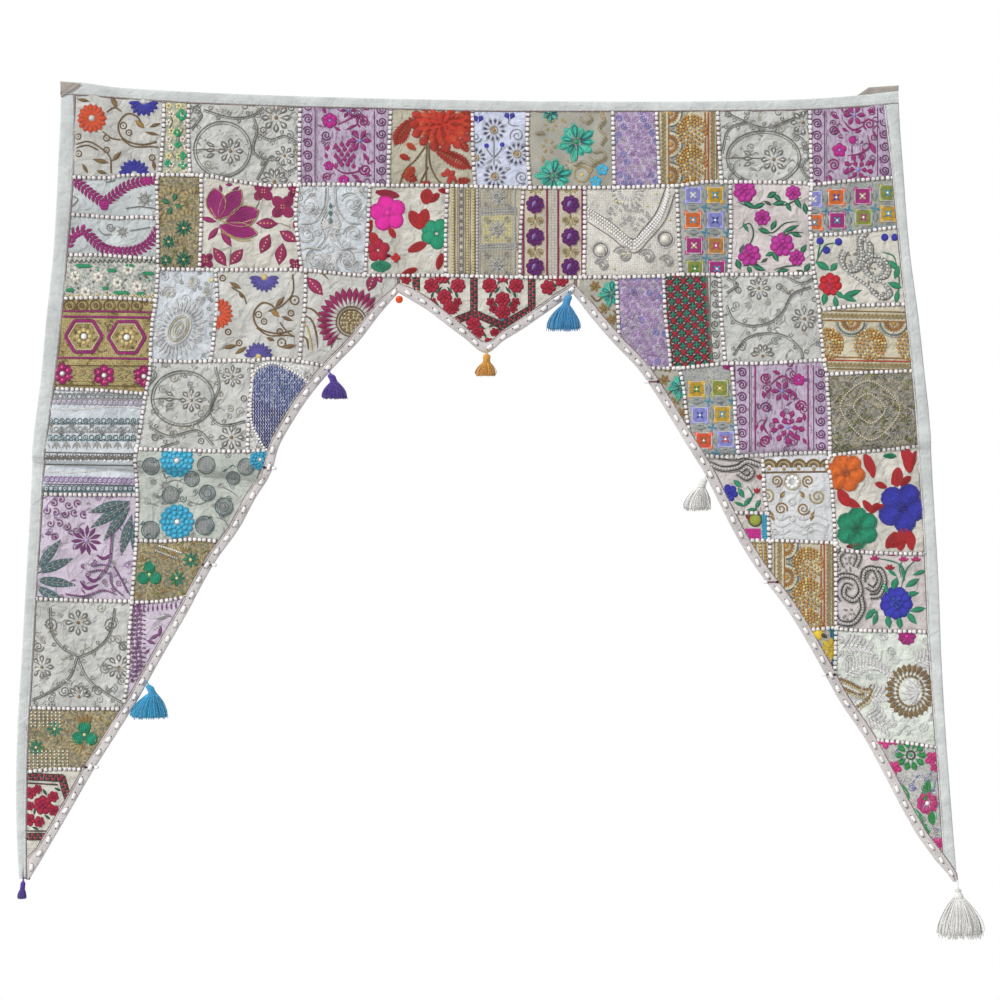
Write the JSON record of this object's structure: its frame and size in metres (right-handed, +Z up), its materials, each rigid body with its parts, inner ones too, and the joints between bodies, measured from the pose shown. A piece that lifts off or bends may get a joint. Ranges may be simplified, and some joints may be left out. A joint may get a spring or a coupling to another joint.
{
  "type": "patchwork door hanging",
  "caption": "Embroidered patchwork valance for a doorway, with a top band, two long pointed legs, a small middle point, bound edges and small tassels.",
  "frame": {"origin": "middle of the top edge, where it is fastened above a doorway", "axes": "+X to the right as seen from the front, +Y from the front face to the back, +Z up"},
  "size_m": [1.0435, 0.0253, 0.9262],
  "materials": {
    "patchwork": "embroidered cotton and brocade patches in cream, lilac, magenta, gold and green, matt with some metal thread",
    "binding": "grey-cream plain woven cotton, matt",
    "tape": "warm grey plain woven cotton with small white glass beads",
    "corner_tab": "taupe plain woven cotton, matt",
    "purple_thread": "deep purple spun thread, soft sheen",
    "turquoise_thread": "turquoise spun thread, soft sheen",
    "amber_thread": "amber spun thread, soft sheen",
    "sky_blue_thread": "sky blue spun thread, soft sheen",
    "cream_thread": "cream spun thread with browned ends",
    "orange_bead": "orange bead, semi-gloss"
  },
  "bodies": {
    "root": {"panel": "patchwork", "binding_top": "binding", "binding_left": "binding", "binding_right": "binding", "opening_tape": "tape", "corner_tab_left": "corner_tab", "corner_tab_right": "corner_tab", "tassel_left_tip": "purple_thread", "tassel_left_leg": "turquoise_thread", "tassel_left_upper": "purple_thread", "apex_bead": "orange_bead", "tassel_centre": "amber_thread", "tassel_right_apex": "sky_blue_thread", "tassel_right_leg": "cream_thread", "tassel_right_tip": "cream_thread"}
  },
  "joints": []
}
